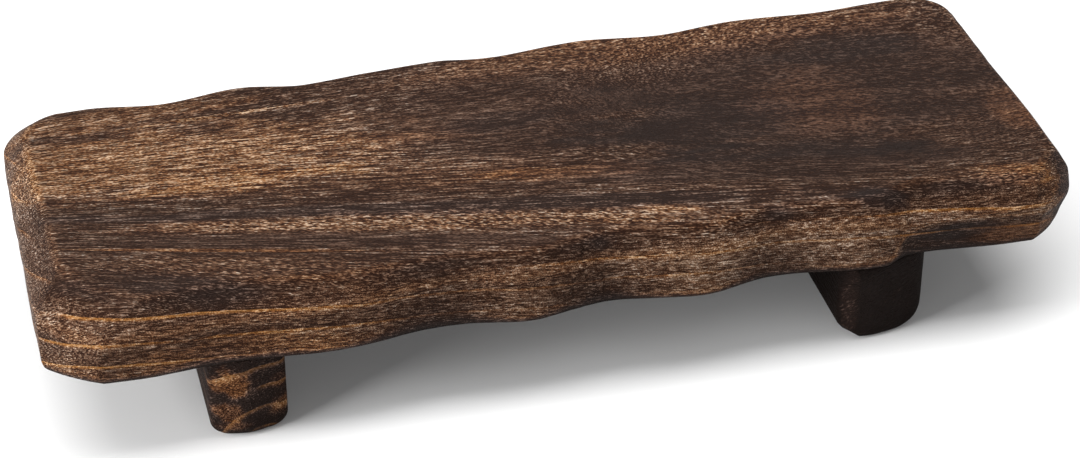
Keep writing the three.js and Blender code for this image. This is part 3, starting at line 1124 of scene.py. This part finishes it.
    def growth(
        self, ground: Ground, place: tuple[Socket, Socket, Socket], across: Socket
    ) -> Socket:
        """Growth coordinates, which follow the fan on top and run straight along the flanks.

        Args:
            ground: The material's ground.
            place: X, Y and Z.
            across: Distance across the fan.

        Returns:
            The coordinates.
        """
        sheet = ground.sheet
        x, y, z = place
        rise = sheet.gather(sheet.reckon("ADD", z, self.ring_start), (x, self.dip), (y, self.tilt))
        on_top = sheet.reckon("GREATER_THAN", ground.uneven(z, self.top_rag), self.top_edge)
        longer = self.stretch_on_top - self.stretch_on_flank
        drawn = sheet.times(x, sheet.gather(self.stretch_on_flank, (on_top, longer)))
        return sheet.join(drawn, sheet.between(on_top, y, across), ground.lay(rise, (self.swell,)))

    def ring_line(
        self, sheet: Sheet, place: tuple[Socket, Socket, Socket], flank: Socket
    ) -> Socket:
        """Strength of the ring lines: on the flanks, most at the left, less at the back and low down.

        Args:
            sheet: The material's sheet.
            place: X, Y and Z.
            flank: Mask of the flanks.

        Returns:
            The strength.
        """
        x, y, z = place
        right = sheet.times(sheet.span(x, *self.right_lines), sheet.span(z, *self.right_line_heights))
        strength = sheet.reckon("ADD", sheet.span(x, *self.left_lines), right)
        forward, upward = sheet.span(y, *self.front_lines), sheet.span(z, *self.low_lines)
        return sheet.times(flank, strength, forward, upward)

    def material(self) -> bpy.types.Material:
        """Material of the slab."""
        material, sheet, shader = new_material("scorched slab wood")
        x, y, z = sheet.split(millimetres(sheet))
        across = self.across(sheet, x, y)
        ground = Ground(sheet, self.patch, sheet.join(x, across, z), self.rag, self.push)
        flank = sheet.span(z, *self.flank)
        # Painted shade: darker towards the lower edge, where the rounded underside lies in shadow.
        low = sheet.span(ground.uneven(z, self.low_rag), *self.low)
        lowest = sheet.span(ground.uneven(z, self.lowest_rag), *self.lowest)
        rim, hollow = (
            sheet.put("ShaderNodeAttribute", attribute_name=mark).outputs["Fac"]
            for mark in ("rim", "hollow")
        )
        gold = ground.lay(sheet.gather(0.08, (flank, 0.17)), self.gold)
        char_and_shade = ground.lay(sheet.gather(0.05, (flank, -0.6)), self.char_and_shade)
        wood = sheet.group(self.grain, {
            "Growth": self.growth(ground, (x, y, z), across),
            # Painted shade: the hollow mark, partly scorching, darkens the scallops and undercuts, and low
            # and lowest darken the lower edge; both take gold off.
            "Gold": sheet.gather(gold, (rim, 0.3), (lowest, -0.4), (hollow, -0.6), clamp=True),
            "Char And Shade": sheet.gather(char_and_shade, (hollow, 1.0), (low, 0.9), (lowest, 0.9)),
            "Calm": ground.lay(sheet.gather(0.2, (flank, 0.06)), self.calm),
            "Scaly": ground.lay(0.0, self.scaly),
            "Pored": sheet.times(flank, self.pored_flank),
            "Ring Step": self.ring_step,
            "Ring Line": self.ring_line(sheet, (x, y, z), flank),
            "Line Width": self.line_width,
        })
        dress(sheet, shader, wood, self.relief, self.gloss)
        return material


def millimetres(sheet: Sheet) -> Socket:
    """Object coordinates in millimetres."""
    coordinates = sheet.put("ShaderNodeTexCoord").outputs["Object"]
    return sheet.vector("MULTIPLY", coordinates, (1 / MM,) * 3)


@dataclass(frozen=True)
class FootFinish:
    """Near-black scorched wood of a foot, whose rings arch over a heart and show on its ends.

    The fibres run along Y, and a turn of one radian about the heart counts for arc millimetres.
    """

    grain: bpy.types.NodeTree
    patch: bpy.types.NodeTree
    name: str
    heart: tuple[float, float]
    char_and_shade: float
    # Lighter patches: golden end grain, and on the right foot partly a painted highlight.
    gold: tuple[Patch, ...]
    arc: float = 24.0
    rag: Size = (7.0, 14.0, 7.0)
    push: float = 1.4
    ring_step: float = 9.3
    ring_line: float = 0.27
    line_width: float = 4.2
    calm: float = 0.55
    relief: float = 0.35
    gloss: float = 0.04

    def material(self) -> bpy.types.Material:
        """Material of one foot."""
        material, sheet, shader = new_material(self.name)
        place = millimetres(sheet)
        x, y, z = sheet.split(place)
        sideways = sheet.reckon("SUBTRACT", x, self.heart[0])
        upwards = sheet.reckon("SUBTRACT", z, self.heart[1])
        radius = sheet.vector("LENGTH", sheet.join(sideways, upwards, 0.0))
        turn = sheet.times(sheet.reckon("ARCTAN2", upwards, sideways), self.arc)
        gold = Ground(sheet, self.patch, place, self.rag, self.push).lay(0.0, self.gold)
        wood = sheet.group(self.grain, {
            "Growth": sheet.join(y, turn, radius),
            "Gold": gold,
            "Char And Shade": sheet.gather(self.char_and_shade, (gold, -self.char_and_shade)),
            "Calm": self.calm,
            "Ring Step": self.ring_step,
            "Ring Line": self.ring_line,
            "Line Width": self.line_width,
        })
        dress(sheet, shader, wood, self.relief, self.gloss)
        return material


@dataclass(frozen=True)
class ZincFinish:
    """Dull zinc plating of the screws, clouded at so many specks to the metre."""

    specks: float = 900.0
    dark: str = "8b8a85"
    light: str = "b4b2ab"
    metallic: float = 0.9

    def material(self) -> bpy.types.Material:
        """Material of the screws."""
        material, sheet, shader = new_material("dull zinc")
        coordinates = sheet.put("ShaderNodeTexCoord").outputs["Object"]
        settings = {"Vector": coordinates, "Scale": self.specks, "Detail": 3.0}
        cloud = sheet.put("ShaderNodeTexNoise", settings).outputs[0]
        sheet.lead(sheet.ramp(cloud, (0.3, 0.7), (self.dark, self.light)), shader, "Base Color")
        sheet.lead(sheet.span(cloud, 0.25, 0.75, 0.3, 0.5), shader, "Roughness")
        shader.inputs["Metallic"].default_value = self.metallic
        return material


def new_material(name: str) -> tuple[bpy.types.Material, Sheet, bpy.types.Node]:
    """Starts a material: the material, its sheet and its shader."""
    material = bpy.data.materials.new(name)
    material.use_nodes = True
    shader = material.node_tree.nodes["Principled BSDF"]
    return material, Sheet(material.node_tree), shader


def dress(
    sheet: Sheet, shader: bpy.types.Node, wood: bpy.types.Node, relief: float, gloss: float
) -> None:
    """Leads a wood group into a shader, with its height as bump.

    Args:
        sheet: The material's sheet.
        shader: The material's shader.
        wood: The wood group.
        relief: Depth of the grain in millimetres.
        gloss: Specular level of the oiled surface.
    """
    settings = {"Height": wood.outputs["Height"], "Strength": 1.0, "Distance": relief * MM}
    bump = sheet.put("ShaderNodeBump", settings)
    sheet.lead(wood.outputs["Color"], shader, "Base Color")
    sheet.lead(wood.outputs["Roughness"], shader, "Roughness")
    sheet.lead(bump.outputs[0], shader, "Normal")
    shader.inputs["Specular IOR Level"].default_value = gloss


# Sub-assemblies


@dataclass
class ScrewSet:
    """The four screws and the holes that they need."""

    nodes: tuple[str, ...] = (
        "left_front_screw", "left_back_screw", "right_front_screw", "right_back_screw",
    )
    shank: float = 4.2
    head_clearance: float = 0.8
    shank_clearance: float = 0.35
    tip_clearance: float = 1.0
    tip_length: float = 5.0
    seat: float = 11.0
    segments: int = 48
    past: float = 1.0

    def place(self, node: str) -> np.ndarray:
        """X and Y of a screw's line."""
        low, high = node_box(node)
        return (low[:2] + high[:2]) / 2

    def of_foot(self, foot: str) -> list[str]:
        """Screws that hold a foot."""
        side = foot.split("_")[0]
        return [node for node in self.nodes if node.startswith(side)]

    def foot_bits(self, foot: str) -> list[bpy.types.Mesh]:
        """Counterbores and through holes of a foot."""
        top = node_box(foot)[1][2]
        bits = []
        for node in self.of_foot(foot):
            low, high = node_box(node)
            head = (high[0] - low[0]) / 2 + self.head_clearance
            shank = self.shank / 2 + self.shank_clearance
            outline = [
                (0, -self.past), (head, -self.past), (head, self.seat), (shank, self.seat),
                (shank, top + self.past), (0, top + self.past),
            ]
            bits.append(turned(node + "_hole", outline, self.place(node), self.segments))
        return bits

    def slab_bits(self) -> list[bpy.types.Mesh]:
        """Pilot holes up into the slab."""
        base = node_box("board")[0][2]
        shank = self.shank / 2 + self.shank_clearance
        bits = []
        for node in self.nodes:
            tip = node_box(node)[1][2]
            outline = [
                (0, base - self.past), (shank, base - self.past), (shank, tip - self.tip_length),
                (0, tip + self.tip_clearance),
            ]
            bits.append(turned(node + "_pilot", outline, self.place(node), self.segments))
        return bits

    def build(self, zinc: bpy.types.Material) -> None:
        """Gives the CAD screws their finish."""
        for node in self.nodes:
            coat(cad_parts[node].data, zinc)
            LOG.info("%s keeps its CAD form", node)


@dataclass
class Slab:
    """The carved slab."""

    softening: float = 3.2
    scallop_at_top: float = 0.95
    ripple: float = 1.7
    sway: float = 0.18
    seed: int = 11
    mesher: Mesher = Mesher(long=270, short=70, corner=20, rounding=6, face=9)
    sides: dict[Side, EdgeKeys] = field(default_factory=lambda: {
        Side.FRONT: EdgeKeys(
            scallops=(
                (0, 2), (0.085, 1.4), (0.17, 3.4), (0.265, 0.5), (0.37, 5.2), (0.452, 0.6), (0.524, 5.2),
                (0.617, 0), (0.692, 5), (0.79, 0.4), (0.845, 1.8), (0.93, 0), (1, 0.4),
            ),
            shoulder=(
                (0, 11, 0.36), (0.18, 10, 0.34), (0.27, 8, 0.3), (0.37, 4.5, 0.26), (0.5, 5.5, 0.28),
                (0.62, 6, 0.3), (0.72, 5, 0.28), (0.79, 7, 0.3), (0.83, 12, 0.42), (0.88, 10, 0.38),
                (1, 9, 0.32),
            ),
            undercut=(
                (0, 3, 0.18), (0.1, 1.8, 0.12), (0.8, 1.8, 0.12), (0.825, 5, 0.52), (0.87, 4.6, 0.59),
                (0.92, 4, 0.57), (1, 3.6, 0.52),
            ),
        ),
        Side.RIGHT: EdgeKeys(
            scallops=((0, 0.3), (0.3, 0), (0.6, 0.8), (0.8, 0.3), (1, 0.6)),
            shoulder=((0, 6.5, 0.3), (0.35, 5.5, 0.28), (1, 7.5, 0.3)),
            undercut=((0, 12, 0.48), (0.4, 8, 0.36), (1, 7, 0.3)),
        ),
        Side.BACK: EdgeKeys(
            scallops=(
                (0, 1.8), (0.085, 1.2), (0.16, 5.6), (0.24, 1.6), (0.303, 6.0), (0.37, 3.0), (0.44, 1.4),
                (0.492, 3.9), (0.592, 0.3), (0.677, 4.1), (0.76, 0.6), (0.845, 2.4), (0.945, 0), (1, 0.8),
            ),
            shoulder=((0, 8, 0.3), (0.3, 6, 0.26), (0.7, 6, 0.28), (1, 7, 0.3)),
            undercut=((0, 3, 0.16), (0.5, 2, 0.12), (1, 4, 0.2)),
        ),
        Side.LEFT: EdgeKeys(
            scallops=((0, 0.4), (0.3, 0), (0.5, 0.2), (0.75, 0), (1, 0.2)),
            shoulder=((0, 12, 0.36), (0.35, 11, 0.34), (0.7, 8.5, 0.3), (1, 9, 0.32)),
            undercut=((0, 3, 0.16), (0.5, 2.4, 0.14), (1, 3, 0.16)),
        ),
    })
    corners: dict[Corner, CornerKeys] = field(default_factory=lambda: {
        Corner.FRONT_LEFT: CornerKeys(((0, 18, 13), (0.5, 20, 18), (1, 25, 26)), 0.8),
        Corner.FRONT_RIGHT: CornerKeys(
            ((0, 8, 6), (0.42, 15.5, 14.5), (0.72, 18, 20), (1, 13, 15)), 0.85,
        ),
        Corner.BACK_RIGHT: CornerKeys(((0, 15, 15), (1, 13, 13)), 0.25),
        Corner.BACK_LEFT: CornerKeys(((0, 17, 17), (1, 14, 14)), 0.35),
    })

    def build(self, screws: ScrewSet, wood: bpy.types.Material) -> None:
        """Builds, drills and dresses the slab."""
        low, high = node_box("board")
        block = CarvedBlock(
            low, high, self.softening, self.scallop_at_top, self.sides, self.corners, self.mesher,
            ripple=self.ripple, sway=self.sway, seed=self.seed,
        )
        place_piece(block.mesh("carved_slab"), "board", screws.slab_bits(), wood)


@dataclass
class Foot:
    """A crossbar foot that runs from front to back. Its sole_wear goes by the order of the sides."""

    node: str
    crown: Keys
    corners: dict[Corner, CornerKeys]
    seed: int
    front_wear: Keys = ((0, 0.8, 0.02),)
    softening: float = 2.4
    top_wear: tuple[float, float] = (0.8, 0.02)
    sole_wear: tuple[tuple[float, float], ...] = ((2.6, 0.09),) * 4
    ripple: float = 0.45
    mesher: Mesher = Mesher(long=36, short=80, corner=10, rounding=5, face=10)

    def build(self, screws: ScrewSet, wood: bpy.types.Material) -> None:
        """Builds, drills and dresses the foot."""
        low, high = node_box(self.node)
        plain, top = ((0, 0),), ((0, *self.top_wear),)
        front, right, back, left = (((0, *wear),) for wear in self.sole_wear)
        sides = {
            Side.FRONT: EdgeKeys(self.crown, self.front_wear, front),
            Side.RIGHT: EdgeKeys(plain, top, right),
            Side.BACK: EdgeKeys(self.crown, top, back),
            Side.LEFT: EdgeKeys(plain, top, left),
        }
        block = CarvedBlock(
            low, high, self.softening, 1.0, sides, self.corners, self.mesher,
            ripple=self.ripple, seed=self.seed,
        )
        bits = screws.foot_bits(self.node)
        place_piece(block.mesh(self.node + "_bar"), self.node, bits, wood)


def round_corners(*rounds: tuple[float, float]) -> dict[Corner, CornerKeys]:
    """Corners of one reach each, from front left anticlockwise, as reach and facet."""
    return {
        corner: CornerKeys(((0, reach, reach),), facet) for corner, (reach, facet) in zip(Corner, rounds)
    }


@dataclass(frozen=True)
class Lamp:
    """A rectangular area lamp: its middle, aim and two sides in metres, and its power in watts."""

    name: str
    place: Size
    aim: Size
    size: tuple[float, float]
    power: float

    def hang(self) -> None:
        """Puts the lamp in the scene."""
        data = bpy.data.lights.new(self.name, "AREA")
        data.shape = "RECTANGLE"
        data.size, data.size_y = self.size
        data.energy = self.power
        lamp = linked(self.name, data)
        lamp.location = self.place
        lamp.rotation_euler = (Vector(self.aim) - Vector(self.place)).to_track_quat("-Z", "Y").to_euler()


@dataclass
class Studio:
    """Pale floor, soft light and the photograph's camera."""

    eye: Size = (-230.01, -891.81, 655.58)
    yaw: float = 14.599
    pitch: float = 34.405
    lens: float = 93.97
    sensor: float = 36.0
    sight: float = 50.0
    floor_half: float = 6.0
    floor_lines: int = 13
    floor_pale: float = 0.93
    floor_roughness: float = 0.9
    floor_glow: float = 0.07
    floor_fade: tuple[float, float] = (0.45, 1.1)
    world_light: float = 0.24
    lamps: tuple[Lamp, ...] = (
        Lamp("overhead softbox", (-0.05, 0.0, 1.3), (-0.05, 0.0, 0.0), (1.9, 0.7), 21.0),
        Lamp("left softbox", (-1.2, -0.3, 0.45), (-0.1, 0.0, 0.03), (0.7, 0.7), 17.0),
    )

    def camera(self) -> None:
        """Camera at the photograph's viewing angle."""
        data = bpy.data.cameras.new("camera")
        data.lens = self.lens
        data.sensor_width = self.sensor
        data.sensor_fit = "HORIZONTAL"
        data.clip_end = self.sight
        camera = linked("camera", data)
        camera.location = Vector(self.eye) * MM
        camera.rotation_euler = (math.radians(90 - self.pitch), 0.0, -math.radians(self.yaw))
        bpy.context.scene.camera = camera

    def floor(self) -> None:
        """Plain pale floor that keeps the shadow and turns white far from the riser."""
        edge = np.linspace(-self.floor_half, self.floor_half, self.floor_lines)
        x, y = np.meshgrid(edge, edge)
        points = np.stack([x, y, np.zeros_like(x)], -1).reshape(-1, 3)
        numbers = np.arange(points.shape[0]).reshape(x.shape)
        floor = linked("floor", mesh_of("floor", points, quads_of(numbers), {}))
        material, sheet, shader = new_material("pale floor")
        shader.inputs["Base Color"].default_value = (*(self.floor_pale,) * 3, 1.0)
        shader.inputs["Roughness"].default_value = self.floor_roughness
        shader.inputs["Specular IOR Level"].default_value = 0.0
        shader.inputs["Emission Color"].default_value = (1.0, 1.0, 1.0, 1.0)
        camera_ray = sheet.put("ShaderNodeLightPath").outputs["Is Camera Ray"]
        away = sheet.vector("LENGTH", sheet.put("ShaderNodeTexCoord").outputs["Object"])
        glow = sheet.span(away, *self.floor_fade, self.floor_glow, 1.0)
        sheet.lead(sheet.times(camera_ray, glow), shader, "Emission Strength")
        coat(floor.data, material)

    def light(self) -> None:
        """Soft lamps, and a plain world that is white to the camera, glossy and transmission rays."""
        for lamp in self.lamps:
            lamp.hang()
        world = bpy.data.worlds.new("studio")
        world.use_nodes = True
        sheet = Sheet(world.node_tree)
        back = world.node_tree.nodes["Background"]
        path = sheet.put("ShaderNodeLightPath")
        seen = path.outputs["Is Camera Ray"]
        for ray in ("Is Transmission Ray", "Is Glossy Ray"):
            seen = sheet.reckon("MAXIMUM", seen, path.outputs[ray])
        sheet.lead(sheet.span(seen, 0.0, 1.0, self.world_light), back, "Strength")
        back.inputs["Color"].default_value = (1.0, 1.0, 1.0, 1.0)
        bpy.context.scene.world = world

    def build(self) -> None:
        """Sets the stage."""
        self.camera()
        self.floor()
        self.light()
        bpy.context.scene.view_settings.view_transform = "Standard"


def main() -> None:
    """Builds the riser and its stage."""
    logging.basicConfig(level=logging.INFO, format="%(name)s: %(message)s")
    grain, patch = ScorchedGrain().group(), soft_patch_group()
    screws = ScrewSet()
    Slab().build(screws, SlabFinish(grain, patch).material())
    left = FootFinish(grain, patch, "left foot wood", (-121, -5), 1, (
        Patch((-133.5, -70, 25), (11, 13, 9), 0.9),
        Patch((-135, -70, 12.5), (8, 13, 6), 0.75),
        Patch((-133, -70, 5.5), (9, 13, 3.5), 0.6),
        Patch((-113, -70, 11), (8, 13, 6), 0.8),
        Patch((-114, -70, 22), (6, 13, 4.5), 0.45),
        Patch((-122, 70, 20), (14, 13, 12), 0.6),
    ))
    right = FootFinish(grain, patch, "right foot wood", (150, -20), 1.7, (
        # Partly lighter cut wood, partly a painted highlight on the front-left facet.
        Patch((107.5, -69.5, 17), (4.5, 8, 20), 0.36),
    ), ring_line=0.05, calm=0.7, gloss=0.05)
    Foot(
        "left_foot", ((0, 3.2), (0.45, 0), (1, 4)),
        round_corners((5.5, 0.1), (6, 0.1), (6, 0.1), (6.5, 0.1)), seed=23,
    ).build(screws, left.material())
    Foot(
        "right_foot", ((0, 0.8), (0.3, 0), (1, 5.4)),
        round_corners((6.5, 0.8), (10, 0.1), (7, 0.1), (7, 0.5)), seed=37,
        front_wear=((0, 4.5, 0.2), (0.3, 3.0, 0.13), (0.65, 1.0, 0.04), (1, 0.8, 0.02)),
        sole_wear=((1.8, 0.065), (5.0, 0.2), (2.6, 0.09), (4.5, 0.16)),
    ).build(screws, right.material())
    screws.build(ZincFinish().material())
    Studio().build()


if __name__ == "__main__":
    main()
